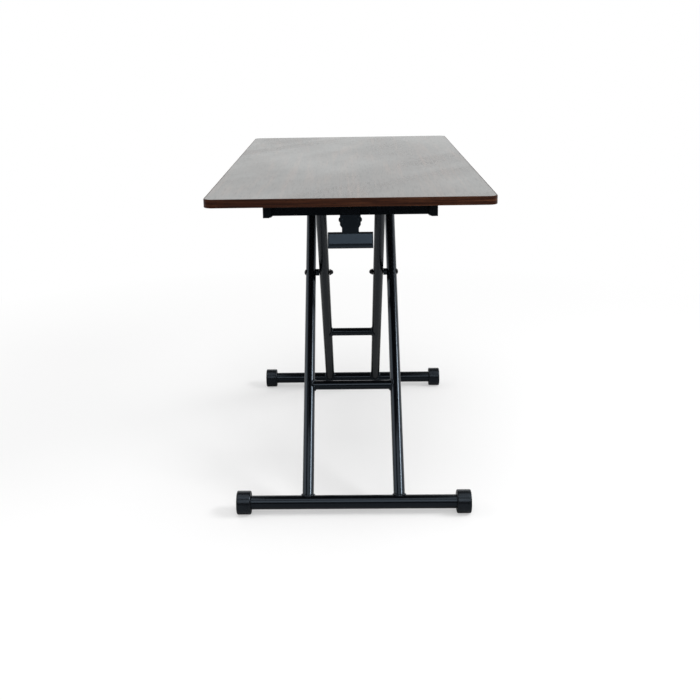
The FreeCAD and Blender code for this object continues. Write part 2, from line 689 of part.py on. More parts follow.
def make_lever_bracket():
    """The folded bracket that hangs the lever under the near end of the top."""
    front = LEVER_Y - BRACKET_LENGTH / 2
    back = LEVER_Y + BRACKET_LENGTH / 2
    base = block((-BRACKET_OUTER_X, BRACKET_OUTER_X), (front, back), (UNDERSIDE - BRACKET_SHEET, UNDERSIDE))
    for x, y in BRACKET_SCREWS:
        base = base.cut(screw_hole(x, y))
    half_slot = SCREW_HEAD_DIAMETER / 2 + NOTCH_CLEARANCE
    slot_levels = (UNDERSIDE - BRACKET_SHEET - BRACKET_SLOT_HEIGHT, UNDERSIDE - BRACKET_SHEET)
    apron_levels = (UNDERSIDE - BRACKET_APRON, UNDERSIDE)
    apron = block((-BRACKET_OUTER_X, BRACKET_OUTER_X), (front, front + BRACKET_SHEET), apron_levels)
    folds = [apron.cut(block((-half_slot, half_slot), (front, front + BRACKET_SHEET), slot_levels))]
    for side in (-1, 1):
        across = sorted((side * BRACKET_INNER_X, side * BRACKET_OUTER_X))
        root_y = LEVER_Y + BRACKET_EAR_LEAN
        root_z = UNDERSIDE - LEVER_PIN_DROP / 2
        folds.append(block(across, (root_y - BRACKET_EAR_RADIUS, back), (root_z, UNDERSIDE)))
        pin_disc = (LEVER_Y, LEVER_Z, BRACKET_EAR_RADIUS)
        folds.append(link_plate((root_y, root_z, BRACKET_EAR_RADIUS), pin_disc, across))
    bracket = base.fuse(folds)
    hole = (-BRACKET_OUTER_X, BRACKET_OUTER_X)
    return bracket.cut(cross_rod(LEVER_Y, LEVER_Z, hole, LEVER_PIN_DIAMETER)).removeSplitter()


def make_lever_pin():
    """The pin that the lever swings on, headed over outside the bracket."""
    return headed_pin(
        LEVER_Y, LEVER_Z, BRACKET_OUTER_X, LEVER_PIN_DIAMETER, LEVER_PIN_HEAD_DIAMETER, LEVER_PIN_HEAD_HEIGHT
    )


# Return spring: a coil round the lever pin with one leg behind the stem and one under the bracket

SPRING_RADIUS = STEM_OFFSET - SPRING_WIRE / 2 - SLIDE_CLEARANCE
SPRING_PITCH = SPRING_WIRE + SPRING_TURN_GAP


def spring_point(turn):
    """A point on the middle of the coiled wire, after a number of turns from the front of the pin."""
    angle = math.pi - 2 * math.pi * turn
    x = SPRING_PITCH * (turn - SPRING_TURNS / 2)
    return V(x, LEVER_Y + SPRING_RADIUS * math.cos(angle), LEVER_Z + SPRING_RADIUS * math.sin(angle))


def spring_gap():
    """The least distance between the surfaces of two neighbouring turns, measured on points."""
    steps = 48
    points = [spring_point(step / steps) for step in range(SPRING_TURNS * steps)]
    least = min(
        (points[first] - points[second]).Length
        for first in range(len(points))
        for second in range(first + steps // 2, len(points))
    )
    return least - SPRING_WIRE


def make_lever_spring():
    """The sprung wire: lower leg, turns made of quarter-turn arcs, and upper leg."""
    quarters = 4 * SPRING_TURNS
    arcs = []
    for quarter in range(quarters):
        start, middle, end = (spring_point((quarter + part) / 4) for part in (0, 0.5, 1))
        arcs.append(Part.Arc(start, middle, end))
    first_way = arcs[0].tangent(arcs[0].FirstParameter)[0]
    last_way = arcs[-1].tangent(arcs[-1].LastParameter)[0]
    upper_leg = LEVER_PIN_DROP - BRACKET_SHEET - SLIDE_CLEARANCE
    foot = spring_point(0) - first_way * SPRING_LOWER_LEG
    tip = spring_point(SPRING_TURNS) + last_way * (upper_leg / last_way.z)
    first_leg = Part.LineSegment(foot, spring_point(0))
    last_leg = Part.LineSegment(spring_point(SPRING_TURNS), tip)
    spine = Part.Wire([curve.toShape() for curve in [first_leg] + arcs + [last_leg]])
    section = Part.Wire(Part.Circle(foot, first_way, SPRING_WIRE / 2).toShape())
    return spine.makePipeShell([section], True, False)


# Locking rack

def bar_place(leg_angle):
    """Where the slide bar stands along the table when the legs lean at an angle in degrees."""
    return BAR_Y - 2 * UPPER_LEG * math.cos(math.radians(leg_angle))


def notch_places():
    """The places where the rack can hold the slide bar: the height settings, and folded flat."""
    rest_rise = (BAR_Z - FOOT_Z) / LEG_LENGTH
    rises = [rest_rise - setting * HEIGHT_STEP / LEG_LENGTH for setting in range(HEIGHT_SETTINGS)]
    angles = [math.degrees(math.asin(rise)) for rise in rises]
    return [bar_place(angle) for angle in angles + [FOLDED_LEG_ANGLE]]


def rack_rise(y):
    """How far the rack rises at a place when the lever locks it."""
    at_rest_bar = LOCK_DEPTH + RACK_CLEARANCE
    return at_rest_bar * (HANGER_POSITION - y) / (HANGER_POSITION + BAR_Y)


def make_locking_rack():
    """A notched channel under the slide bar, hinged at its far end. It is drawn just clear of the bar."""
    half_width = RACK_WIDTH / 2
    step_y = -BAR_Y + TOP_BAR_DIAMETER / 2 + NOTCH_CLEARANCE + RACK_HEIGHT
    far_y = HANGER_POSITION + RACK_TAIL
    levels = (RACK_BOTTOM, RACK_TOP)
    high_part = block((-half_width, half_width), (RACK_NEAR_Y, step_y), levels)
    low_part = block((-half_width, half_width), (step_y, far_y), (RACK_BOTTOM, RACK_BOTTOM + RACK_LOW_HEIGHT))
    tongue = block(
        (-half_width, half_width),
        (RACK_NEAR_Y, RACK_NEAR_Y + RACK_TONGUE_LENGTH),
        (RACK_BOTTOM - RACK_TONGUE_DROP, RACK_TOP),
    )
    rack = high_part.fuse([low_part, tongue])
    inside = (-half_width + RACK_SHEET, half_width - RACK_SHEET)
    floor_y = RACK_NEAR_Y + RACK_TONGUE_LENGTH
    rack = rack.cut(block(inside, (floor_y, far_y), (RACK_BOTTOM + RACK_SHEET, RACK_TOP)))
    tongue_levels = (RACK_BOTTOM - RACK_TONGUE_DROP, RACK_TOP)
    rack = rack.cut(block(inside, (RACK_NEAR_Y + RACK_SHEET, floor_y), tongue_levels))
    across = (-half_width, half_width)
    for y in notch_places():
        rack = rack.cut(cross_rod(y, BAR_Z - rack_rise(y), across, TOP_BAR_DIAMETER + 2 * NOTCH_CLEARANCE))
    rack = rack.cut(cross_rod(HANGER_POSITION, RACK_HINGE_Z, across, HINGE_PIN_DIAMETER + 2 * RUNNING_FIT))
    slot_radius = LINK_PIN_DIAMETER / 2 + SLOT_CLEARANCE
    ends = [(LINK_Y + side * LINK_SLOT_LENGTH / 2, LINK_Z, slot_radius) for side in (-1, 1)]
    return rack.cut(link_plate(ends[0], ends[1], across)).removeSplitter()


HANGER_INNER_X = RACK_WIDTH / 2 + HANGER_SIDE_GAP
HANGER_OUTER_X = HANGER_INNER_X + HANGER_SHEET


def make_rack_hanger():
    """The bracket under the top that carries the far end of the rack."""
    near = HANGER_POSITION - HANGER_LENGTH / 2
    far = HANGER_POSITION + HANGER_LENGTH / 2
    base = block((-HANGER_OUTER_X, HANGER_OUTER_X), (near, far), (UNDERSIDE - HANGER_SHEET, UNDERSIDE))
    for x, y in HANGER_SCREWS:
        base = base.cut(screw_hole(x, y))
    ears = []
    for side in (-1, 1):
        across = sorted((side * HANGER_INNER_X, side * HANGER_OUTER_X))
        top_disc = (HANGER_POSITION, UNDERSIDE, HANGER_LENGTH / 2)
        ear = link_plate(top_disc, (HANGER_POSITION, RACK_HINGE_Z, HANGER_EAR_RADIUS), across)
        ears.append(ear.cut(block(across, (near, far), (UNDERSIDE, UNDERSIDE + HANGER_LENGTH))))
    hanger = base.fuse(ears)
    hole = (-HANGER_OUTER_X, HANGER_OUTER_X)
    return hanger.cut(cross_rod(HANGER_POSITION, RACK_HINGE_Z, hole, HINGE_PIN_DIAMETER)).removeSplitter()


def make_hinge_pin():
    """The pin that the rack hinges on."""
    return headed_pin(
        HANGER_POSITION, RACK_HINGE_Z, HANGER_OUTER_X,
        HINGE_PIN_DIAMETER, HINGE_PIN_HEAD_DIAMETER, HINGE_PIN_HEAD_HEIGHT,
    )


def make_link_pin():
    """The pin through the lever's arms that moves the rack."""
    half_length = STEM_WIDTH / 2 + LINK_PIN_END
    return cross_rod(LINK_Y, LINK_Z, (-half_length, half_length), LINK_PIN_DIAMETER)


# All the pieces by name

def make_nodes():
    """Every piece of the table, by the name of its node."""
    right_rail = make_rail()
    pivot_block = make_pivot_block()
    slide_block = make_block(-BAR_Y, SLIDE_CLEARANCE)
    nodes = {
        "top_board": make_top_board(),
        "edge_band": make_edge_band(),
        "right_rail": right_rail,
        "left_rail": mirrored(right_rail),
        "near_cross_bar": make_cross_bar(-1),
        "far_cross_bar": make_cross_bar(1),
        "rail_end_caps": make_rail_caps(),
        "rail_lugs": make_rail_lugs(),
        "rail_screws": make_screws(LUG_SCREWS, LUG_THICKNESS),
        "right_pivot_block": pivot_block,
        "left_pivot_block": mirrored(pivot_block),
        "block_rivets": make_block_rivets(),
        "slide_stops": make_slide_stops(),
        "lever_bracket": make_lever_bracket(),
        "lever_bracket_screws": make_screws(BRACKET_SCREWS, BRACKET_SHEET),
        "lever_pin": make_lever_pin(),
        "lever_spring": make_lever_spring(),
        "rack_hanger": make_rack_hanger(),
        "rack_hanger_screws": make_screws(HANGER_SCREWS, HANGER_SHEET),
        "rack_hinge_pin": make_hinge_pin(),
        "release_lever": make_release_lever(),
        "rack_link_pin": make_link_pin(),
        "locking_rack": make_locking_rack(),
        "right_slide_block": slide_block,
        "left_slide_block": mirrored(slide_block),
        "scissor_bolts": both_sides(make_bolt()),
        "scissor_spacers": both_sides(make_spacer()),
        "scissor_cap_nuts": both_sides(make_cap_nut()),
        "outer_top_bar": make_top_bar(1),
        "inner_slide_bar": make_top_bar(-1),
    }
    for frame, lean, bolt_fit in (("outer", 1, SEAT_FIT), ("inner", -1, RUNNING_FIT)):
        right_leg = make_leg(lean, bolt_fit)
        right_cap = make_foot_cap(lean)
        nodes[frame + "_right_leg"] = right_leg
        nodes[frame + "_left_leg"] = mirrored(right_leg)
        nodes[frame + "_foot_tube"] = make_foot_tube(lean)
        nodes[frame + "_right_foot_cap"] = right_cap
        nodes[frame + "_left_foot_cap"] = mirrored(right_cap)
        nodes[frame + "_brace"] = make_brace(lean)
    return nodes


def main():
    """Writes one file for each piece, and prints what the joints need to know."""
    os.makedirs("parts", exist_ok=True)
    for name, shape in make_nodes().items():
        shape.exportStep("parts/" + name + ".step")
        print(name, "solids", len(shape.Solids), "valid", shape.isValid(), "volume", round(shape.Volume, 1))
    print("fixed pivot y, z", round(BAR_Y, 3), BAR_Z)
    leg_angle = math.degrees(math.asin((BAR_Z - FOOT_Z) / LEG_LENGTH))
    print("leg angle", round(leg_angle, 3), "leg", round(LEG_LENGTH, 2))
    print("lever pivot y, z", LEVER_Y, LEVER_Z, "link pin y, z", LINK_Y, LINK_Z)
    print("rack hinge y, z", HANGER_POSITION, RACK_HINGE_Z, "rise at the link", round(rack_rise(LINK_Y), 3))
    print("notches along y", [round(y, 1) for y in notch_places()])
    print("least gap between the turns of the spring", round(spring_gap(), 3))


main()
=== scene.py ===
# %% [markdown]
# # A narrow table on scissor legs
# This lesson dresses a finished construction model. The pieces are already there at their real size,
# so nothing is moved or resized here. Each step looks at one finish or one small detail of the real
# table, such as the walnut laminate or the welds, and shows how to make it.

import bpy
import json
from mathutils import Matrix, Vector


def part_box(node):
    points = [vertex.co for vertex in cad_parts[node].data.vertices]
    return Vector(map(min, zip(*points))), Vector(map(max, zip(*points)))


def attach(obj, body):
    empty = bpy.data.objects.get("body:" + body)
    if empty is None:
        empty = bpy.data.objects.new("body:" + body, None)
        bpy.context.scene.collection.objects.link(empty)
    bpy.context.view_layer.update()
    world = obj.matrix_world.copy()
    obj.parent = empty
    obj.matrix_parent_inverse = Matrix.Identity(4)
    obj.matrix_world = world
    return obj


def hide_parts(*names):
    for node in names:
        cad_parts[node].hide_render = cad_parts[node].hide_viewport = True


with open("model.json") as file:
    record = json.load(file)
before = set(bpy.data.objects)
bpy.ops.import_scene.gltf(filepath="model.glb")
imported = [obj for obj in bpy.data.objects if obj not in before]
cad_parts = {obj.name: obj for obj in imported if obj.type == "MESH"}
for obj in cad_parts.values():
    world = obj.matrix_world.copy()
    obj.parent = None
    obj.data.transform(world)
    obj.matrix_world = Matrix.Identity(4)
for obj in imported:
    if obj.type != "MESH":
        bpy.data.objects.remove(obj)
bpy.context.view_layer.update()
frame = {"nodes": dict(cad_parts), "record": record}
print("pieces in the frame:", len(frame["nodes"]))

# %% [markdown]
# ## The camera
# A likeness starts with the viewpoint. The camera stands in front of the narrow end, a little above
# the table top, and looks a little down. A small shift of the lens does the rest, as on a view camera,
# so that the legs don't seem to lean together. Its place and its three angles are plain numbers that
# are turned into a matrix, which keeps the small tilt of the picture exact.

# %% Place the camera
import json
import math

import bpy
from mathutils import Matrix, Vector

PICTURE_SIDE = 700
SENSOR_WIDTH = 36.0
FOCAL_LENGTH_PIXELS = 1000.87
LENS_SHIFT = (0.0286, -0.10)
CAMERA_PLACE = Vector((0.0026, -2.1684, 0.9210))
CAMERA_PITCH = math.radians(13.959)
CAMERA_YAW = math.radians(-1.329)
CAMERA_ROLL = math.radians(-0.984)

scene = bpy.context.scene
scene.view_settings.view_transform = "Standard"


def camera_turn():
    """The camera's axes as a rotation: it looks along its own -Z."""
    forward = Vector((
        math.sin(CAMERA_YAW) * math.cos(CAMERA_PITCH),
        math.cos(CAMERA_YAW) * math.cos(CAMERA_PITCH),
        -math.sin(CAMERA_PITCH),
    ))
    level = Vector((math.cos(CAMERA_YAW), -math.sin(CAMERA_YAW), 0))
    upright = level.cross(forward)
    right = math.cos(CAMERA_ROLL) * level + math.sin(CAMERA_ROLL) * upright
    up = math.cos(CAMERA_ROLL) * upright - math.sin(CAMERA_ROLL) * level
    return Matrix((right, up, -forward)).transposed()


camera_data = bpy.data.cameras.new("camera")
camera_data.sensor_width = SENSOR_WIDTH
camera_data.lens = SENSOR_WIDTH * FOCAL_LENGTH_PIXELS / PICTURE_SIDE
camera_data.shift_x, camera_data.shift_y = LENS_SHIFT
camera = bpy.data.objects.new("camera", camera_data)
camera.matrix_world = Matrix.Translation(CAMERA_PLACE) @ camera_turn().to_4x4()
scene.collection.objects.link(camera)
scene.camera = camera
print("camera lens", round(camera_data.lens, 2), "mm")

# %% [markdown]
# ## Shader maths as Python
# Node trees become hard to read when each sum is a node made by hand. A small class can wrap a node's
# output and answer to +, -, * and /, so that a formula in Python grows the Math nodes by itself. Any
# other node comes from one method, which sets the node up first and then fills its sockets. A list
# goes to a socket that takes several links, such as that of Join Geometry.

# %% A socket that does maths
class Socket:
    """The output of a node, ready to be used in an expression."""

    def __init__(self, tree, output):
        self.tree = tree
        self.output = output

    def maths(self, operation, *values):
        """A Math node on some values, of which this socket is usually one."""
        return self.tree.node("ShaderNodeMath", {"operation": operation}, dict(enumerate(values)))

    def __add__(self, other):
        return self.maths("ADD", self, other)

    def __sub__(self, other):
        return self.maths("SUBTRACT", self, other)

    def __rsub__(self, other):
        return self.maths("SUBTRACT", other, self)

    def __mul__(self, other):
        return self.maths("MULTIPLY", self, other)

    def __truediv__(self, other):
        return self.maths("DIVIDE", self, other)

    def __rtruediv__(self, other):
        return self.maths("DIVIDE", other, self)

    __radd__ = __add__
    __rmul__ = __mul__


class Tree:
    """A node tree that is written with one method."""

    def __init__(self, node_tree):
        self.node_tree = node_tree

    def node(self, kind, settings=None, sockets=None, output=0):
        """Adds a node: its settings first, then values or links for its sockets by name or number."""
        made = self.node_tree.nodes.new(kind)
        for name, value in (settings or {}).items():
            if name == "stops":
                self.set_stops(made.color_ramp, value)
            else:
                setattr(made, name, value)
        for name, value in (sockets or {}).items():
            for one in value if isinstance(value, list) else [value]:
                if isinstance(one, Socket):
                    self.node_tree.links.new(one.output, made.inputs[name])
                else:
                    made.inputs[name].default_value = one
        return Socket(self, made.outputs[output]) if len(made.outputs) else made

    @staticmethod
    def set_stops(ramp, stops):
        """Gives a colour ramp its stops, as pairs of position and brightness."""
        while len(ramp.elements) < len(stops):
            ramp.elements.new(1)
        for element, (position, grey) in zip(ramp.elements, stops):
            element.position = position
            element.color = (grey, grey, grey, 1)


print("maths on sockets is ready")

# %% [markdown]
# ## Textures used by every finish
# Wood, paint and plastic all need noise at a real scale. Object coordinates are in metres here, so a
# Mapping node's scale says how many bumps there are in a metre along each axis. Long thin grain is the
# same noise, squeezed much more across the board than along it.

# %% Noise, ramps and colour mixes
def new_finish(name):
    """An empty material with its tree."""
    material = bpy.data.materials.new(name)
    material.use_nodes = True
    material.node_tree.nodes.clear()
    return material, Tree(material.node_tree)


def noise(tree, per_metre, detail=3.0, roughness=0.5, distortion=0.0):
    """Noise from 0 to 1 on the piece's own coordinates, with bumps per metre along X, Y and Z."""
    place = tree.node("ShaderNodeTexCoord", output="Object")
    scaled = tree.node("ShaderNodeMapping", sockets={"Vector": place, "Scale": per_metre})
    return tree.node("ShaderNodeTexNoise", sockets={
        "Vector": scaled, "Scale": 1.0, "Detail": detail, "Roughness": roughness, "Distortion": distortion,
    })


def ramp(tree, value, *stops):
    """A grey ramp through pairs of position and brightness."""
    return tree.node("ShaderNodeValToRGB", {"stops": stops}, {"Fac": value})


def rise(tree, value, span):
    """0 below a span, 1 above it and a straight line between."""
    return tree.node("ShaderNodeClamp", sockets={0: (value - span[0]) / (span[1] - span[0])})


def mix(tree, factor, first, second):
    """A colour between two colours."""
    sockets = {"Factor": factor, 6: first, 7: second}
    return tree.node("ShaderNodeMix", {"data_type": "RGBA", "clamp_factor": True}, sockets, output=2)


def colour(red, green, blue):
    """A colour in linear light, with nothing see-through."""
    return (red, green, blue, 1.0)


def bump(tree, height, distance, strength):
    """A normal that follows small heights, given in metres."""
    sockets = {"Height": height, "Distance": distance, "Strength": strength}
    return tree.node("ShaderNodeBump", sockets=sockets)


def finish(tree, **sockets):
    """Ends a material in one shader. Socket names use _ for a space."""
    named = {name.replace("_", " "): value for name, value in sockets.items()}
    shader = tree.node("ShaderNodeBsdfPrincipled", sockets=named)
    tree.node("ShaderNodeOutputMaterial", sockets={"Surface": shader})


print("noise, ramps and mixes are ready")

# %% [markdown]
# ## The walnut top
# The real top is a board with a printed walnut face under a clear satin layer. Seen at a low angle it
# is mostly reflection, so the clear layer matters as much as the print. The figure is a stretched
# noise turned into faint rings, and the hair-fine pores are a second noise. A cloth has left wide soft
# marks on the clear layer: these are noises that are long in one direction and turned on the board.
# The underside has a plain backing, chosen by height on the board.

# %% Walnut laminate
BOARD_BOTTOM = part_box("top_board")[0].z
WALNUT_DARK = colour(0.0110, 0.0044, 0.0026)
WALNUT_MIDDLE = colour(0.0380, 0.0165, 0.0095)
WALNUT_LIGHT = colour(0.0950, 0.0450, 0.0270)
BACKING_PAPER = colour(0.0340, 0.0180, 0.0120)
BACKING_TOP = BOARD_BOTTOM + 0.0005
CLEAR_LAYER = colour(0.94, 1.0, 0.99)
RINGS_ACROSS = 18.0


def wipe_marks(tree, size, turn, start):
    """Soft marks from 0 to 1 of about a size in metres, turned on the board by degrees."""
    place = tree.node("ShaderNodeTexCoord", output="Object")
    turned = tree.node("ShaderNodeMapping", {"vector_type": "TEXTURE"}, {
        "Vector": place, "Location": start, "Rotation": (0, 0, math.radians(turn)), "Scale": size,
    })
    return tree.node("ShaderNodeTexNoise", sockets={
        "Vector": turned, "Scale": 1.0, "Detail": 1.0, "Roughness": 0.4, "Distortion": 0.0,
    })


def make_walnut_laminate():
    """The printed face of the board under its clear layer, and the backing below."""
    material, tree = new_finish("walnut_laminate")
    figure = noise(tree, (2.6, 0.42, 2.6), detail=2.0, roughness=0.42, distortion=0.35)
    phase = figure * (RINGS_ACROSS * math.tau)
    rings = phase.maths("SINE", phase) * 0.5 + 0.5
    streaks = noise(tree, (130.0, 2.6, 130.0), detail=5.0, roughness=0.62)
    pores = ramp(tree, noise(tree, (900.0, 22.0, 900.0), detail=2.0), (0.36, 1.0), (0.47, 0.0))
    tone = streaks * 0.80 + rings * 0.12
    print_colour = mix(tree, ramp(tree, tone, (0.33, 0.0), (0.58, 1.0)), WALNUT_DARK, WALNUT_MIDDLE)
    print_colour = mix(tree, ramp(tree, tone, (0.50, 0.0), (0.72, 1.0)), print_colour, WALNUT_LIGHT)
    print_colour = mix(tree, pores * 0.55, print_colour, WALNUT_DARK)
    place = tree.node("ShaderNodeTexCoord", output="Object")
    height = tree.node("ShaderNodeSeparateXYZ", sockets={0: place}, output="Z")
    underside = height.maths("LESS_THAN", height, BACKING_TOP)
    clouds = wipe_marks(tree, size=(0.16, 0.34, 1.0), turn=20, start=(0.3, 0.1, 0))
    swipes = wipe_marks(tree, size=(0.055, 0.42, 1.0), turn=-38, start=(0.7, 0.4, 0))
    smudges = rise(tree, clouds * 0.6 + swipes * 0.4, (0.36, 0.64))
    roughness = 0.26 + smudges * 0.06 + pores * 0.06 + underside * 0.25
    finish(
        tree,
        Base_Color=mix(tree, underside, print_colour, BACKING_PAPER),
        Roughness=roughness,
        Coat_Weight=0.22 + smudges * 0.45,
        Coat_Roughness=0.20,
        Coat_Tint=CLEAR_LAYER,
        Normal=bump(tree, 1 - pores, 0.00006, 0.5),
    )
    return material


walnut_laminate = make_walnut_laminate()
print("walnut laminate, rings across the figure:", RINGS_ACROSS)

# %% [markdown]
# ## The walnut edge band
# The band is a thin strip glued round the board, darker and redder than the face, with fine lines
# that run along the strip. Noise that changes fast in Z and slowly in X and Y gives lines along the
# band on all four sides and round the corners, with no seam to hide.

# %% Walnut edging
EDGING_DARK = colour(0.0120, 0.0032, 0.0015)
EDGING_MIDDLE = colour(0.0440, 0.0130, 0.0055)
EDGING_LIGHT = colour(0.1000, 0.0380, 0.0160)


def make_walnut_edging():
    """The strip round the board, with lines that run along it."""
    material, tree = new_finish("walnut_edging")
    lines = noise(tree, (7.0, 7.0, 420.0), detail=5.0, roughness=0.6, distortion=0.25)
    flecks = ramp(tree, noise(tree, (60.0, 60.0, 1500.0), detail=2.0), (0.38, 1.0), (0.50, 0.0))
    drift = noise(tree, (9.0, 9.0, 40.0), detail=2.0)
    tone = lines * 0.75 + drift * 0.25
    strip = mix(tree, ramp(tree, tone, (0.34, 0.0), (0.56, 1.0)), EDGING_DARK, EDGING_MIDDLE)
    strip = mix(tree, ramp(tree, tone, (0.53, 0.0), (0.72, 1.0)), strip, EDGING_LIGHT)
    strip = mix(tree, flecks * 0.5, strip, EDGING_DARK)
    finish(
        tree,
        Base_Color=strip,
        Roughness=0.40 + flecks * 0.12,
        Specular_IOR_Level=0.12,
        Normal=bump(tree, 1 - flecks, 0.00005, 0.6),
    )
    return material


walnut_edging = make_walnut_edging()
print("walnut edging made")

# %% [markdown]
# ## Black powder coat
# The tubes are powder coated: a nearly black skin with a semi-gloss shine and a faint orange peel of
# bumps about a millimetre wide. The peel breaks up the reflections, and slow changes of roughness
# keep a long tube from looking like one perfect cylinder. The stamped lever has a duller, bluer coat,
# so one function makes both.

# %% Powder coat
POWDER_DEEP = colour(0.0010, 0.0011, 0.0016)
POWDER_PALE = colour(0.0022, 0.0026, 0.0035)
POWDER_SHEEN = colour(0.66, 0.82, 1.0)
LEVER_SHEEN = colour(0.57, 0.77, 1.0)


def make_powder_coat(name, least_roughness, shine, sheen):
    """A nearly black coat with orange peel, specks and slow changes of gloss."""
    material, tree = new_finish(name)
    peel = noise(tree, (620.0, 620.0, 620.0), detail=2.0, roughness=0.45)
    patches = noise(tree, (14.0, 14.0, 14.0), detail=3.0, roughness=0.6)
    specks = ramp(tree, noise(tree, (260.0, 260.0, 260.0), detail=1.0), (0.66, 0.0), (0.72, 1.0))
    finish(
        tree,
        Base_Color=mix(tree, patches, POWDER_DEEP, POWDER_PALE),
        Roughness=least_roughness + patches * 0.10 + specks * 0.06,
        Specular_IOR_Level=shine,
        Specular_Tint=sheen,
        Normal=bump(tree, peel, 0.00004, 0.5),
    )
    return material


powder_coat = make_powder_coat(
    "black_powder_coat", least_roughness=0.13, shine=0.50, sheen=POWDER_SHEEN,
)
lever_coat = make_powder_coat(
    "lever_powder_coat", least_roughness=0.30, shine=0.77, sheen=LEVER_SHEEN,
)
print("two powder coats made")

# %% [markdown]
# ## Moulded black plastic
# The foot caps, rail plugs and bearing blocks are moulded. Their skin is duller than the paint, with
# a fine etched grain from the mould and slightly paler patches where hands and floor have rubbed it.

# %% Moulded plastic
PLASTIC_DEEP = colour(0.0014, 0.0016, 0.0021)
PLASTIC_RUBBED = colour(0.0042, 0.0047, 0.0058)
PLASTIC_SHEEN = colour(0.68, 0.83, 1.0)


def make_moulded_plastic():
    """A dull black skin with the grain of its mould and a few rubbed patches."""
    material, tree = new_finish("moulded_black_plastic")
    grain = noise(tree, (1400.0, 1400.0, 1400.0), detail=2.0)
    rubs = noise(tree, (38.0, 38.0, 38.0), detail=4.0, roughness=0.6)
    worn = ramp(tree, rubs, (0.45, 0.0), (0.75, 1.0))
    finish(
        tree,
        Base_Color=mix(tree, worn, PLASTIC_DEEP, PLASTIC_RUBBED),
        Roughness=0.24 + grain * 0.10 - worn * 0.06,
        Specular_IOR_Level=0.5,
        Specular_Tint=PLASTIC_SHEEN,
        Normal=bump(tree, grain, 0.00005, 0.45),
    )
    return material


moulded_plastic = make_moulded_plastic()
print("moulded plastic made")

# %% [markdown]
# ## Steel fasteners
# Two steels are used. Bolts, nuts, rivets, pins and the spring are blackened, which leaves a dark skin
# with a dull metal shine. The wood screws are zinc plated, so they stay bright with a soft cloud of
# slightly different tones. Both come from one function with other values.

# %% Blackened and plated steel
def make_steel(name, dark, bright, metallic, least_roughness):
    """A steel skin between two tones, with fine scratches."""
    material, tree = new_finish(name)
    clouds = noise(tree, (160.0, 160.0, 160.0), detail=3.0)
    scratches = noise(tree, (2600.0, 300.0, 2600.0), detail=2.0)
    finish(
        tree,
        Base_Color=mix(tree, clouds, dark, bright),
        Metallic=metallic,
        Roughness=least_roughness + clouds * 0.12 + scratches * 0.06,
        Normal=bump(tree, scratches, 0.00002, 0.4),
    )
    return material


blackened_steel = make_steel(
    "blackened_steel", dark=colour(0.008, 0.008, 0.009), bright=colour(0.018, 0.018, 0.020),
    metallic=0.3, least_roughness=0.26,
)
zinc_steel = make_steel(
    "zinc_steel", dark=colour(0.42, 0.43, 0.45), bright=colour(0.62, 0.63, 0.64),
    metallic=1.0, least_roughness=0.24,
)
print("two steels made")

# %% [markdown]
# ## Dress the construction pieces
# The frame's record says which finish each piece has. One dictionary turns those names into the
# materials above, so that no piece is forgotten. The lever then gets its duller coat.

# %% Give each piece its finish
FINISHES = {
    "walnut_laminate": walnut_laminate,
    "walnut_edging": walnut_edging,
    "black_powder_coat": powder_coat,
    "black_plastic": moulded_plastic,
    "blackened_steel": blackened_steel,
    "zinc_steel": zinc_steel,
}
for subpart in frame["record"]["subparts"]:
    for material_slot in frame["nodes"][subpart["node"]].material_slots:
        material_slot.material = FINISHES[subpart["material_slot"]]
for material_slot in frame["nodes"]["release_lever"].material_slots:
    material_slot.material = lever_coat

# %% [markdown]
# ## Geometry Nodes as a small workshop
# What repeats is grown by Geometry Nodes: a tree takes a simple mesh of lines or points and named
# sizes, and gives back finished geometry. The result is then turned into a plain mesh, because later
# steps and the export need real faces and no modifier.

# %% Grow a plain mesh from a tree
def new_workshop(name, sizes):
    """A Geometry Nodes tree with a geometry input and output, a finish and some named sizes."""
    node_tree = bpy.data.node_groups.new(name, "GeometryNodeTree")
    interface = node_tree.interface
    interface.new_socket(name="Geometry", in_out="OUTPUT", socket_type="NodeSocketGeometry")
    interface.new_socket(name="Geometry", in_out="INPUT", socket_type="NodeSocketGeometry")
    interface.new_socket(name="Finish", in_out="INPUT", socket_type="NodeSocketMaterial")
    for size in sizes:
        interface.new_socket(name=size, in_out="INPUT", socket_type="NodeSocketFloat")
    tree = Tree(node_tree)
    group_input = node_tree.nodes.new("NodeGroupInput")
    inputs = {socket.name: Socket(tree, socket) for socket in group_input.outputs if socket.name}
    return tree, inputs


def end_workshop(tree, inputs, geometry):
    """Ends a tree in plain, smooth, finished geometry."""
    realized = tree.node("GeometryNodeRealizeInstances", sockets={0: geometry})
    smooth = tree.node("GeometryNodeSetShadeSmooth", sockets={0: realized, "Shade Smooth": True})
    done = tree.node("GeometryNodeSetMaterial", sockets={0: smooth, "Material": inputs["Finish"]})
    tree.node("NodeGroupOutput", sockets={0: done})
    return tree.node_tree


def grow(name, points, edges, node_tree, values, body):
    """Runs a tree on lines or points and leaves a plain mesh that rides on a body."""
    start = bpy.data.meshes.new(name)
    start.from_pydata(points, edges, [])
    piece = bpy.data.objects.new(name, start)
    scene.collection.objects.link(piece)
    modifier = piece.modifiers.new(name, "NODES")
    modifier.node_group = node_tree
    for item in node_tree.interface.items_tree:
        if item.in_out == "INPUT" and item.name in values:
            modifier[item.identifier] = values[item.name]
    depsgraph = bpy.context.evaluated_depsgraph_get()
    grown = bpy.data.meshes.new_from_object(piece.evaluated_get(depsgraph))
    piece.modifiers.remove(modifier)
    piece.data = grown
    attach(piece, body)
    print(name, "faces", len(grown.polygons), "on", body)
    return piece


print("the workshop is ready")

# %% [markdown]
# ## Where the welds run
# Each leg is welded to its foot tube, its brace and its top bar. Two round tubes that meet at a right
# angle leave a saddle-shaped line, which is a short formula: go round the smaller tube and ask how far
# out the surface of the larger one is. The tubes' sizes are read from the frame.

